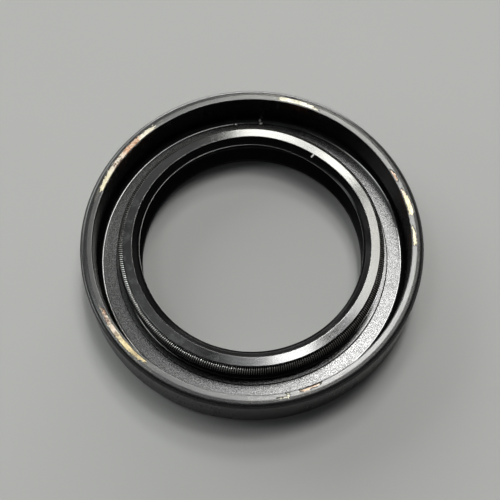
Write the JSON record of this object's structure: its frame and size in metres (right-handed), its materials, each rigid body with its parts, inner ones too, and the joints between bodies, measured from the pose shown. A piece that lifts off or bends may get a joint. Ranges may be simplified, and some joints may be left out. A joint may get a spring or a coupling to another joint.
{
  "type": "radial shaft seal",
  "caption": "Rubber-covered radial shaft seal with a spring-loaded main lip, a dust lip and a steel stiffening cup, pressed into a housing bore around a rotating shaft.",
  "frame": {"origin": "centre of the back face, on the shaft's axis", "axes": "+Z along the shaft's axis, from the back face to the spring side; +X and +Y across the seal, set by the places where the rim's skin is worn"},
  "size_m": [0.062, 0.062, 0.01],
  "materials": {
    "rubber_body": "black moulded nitrile rubber, satin on the rim and the lips, fine matte grain on the floor, with an oily film",
    "steel_case": "bare sheet steel with yellowish and copper-coloured bonding film where the skin has worn off the edge",
    "garter_spring": "dark oiled spring wire, closely coiled"
  },
  "bodies": {
    "root": {"rubber_body": "rubber_body", "steel_case": "steel_case", "garter_spring": "garter_spring"}
  },
  "joints": []
}
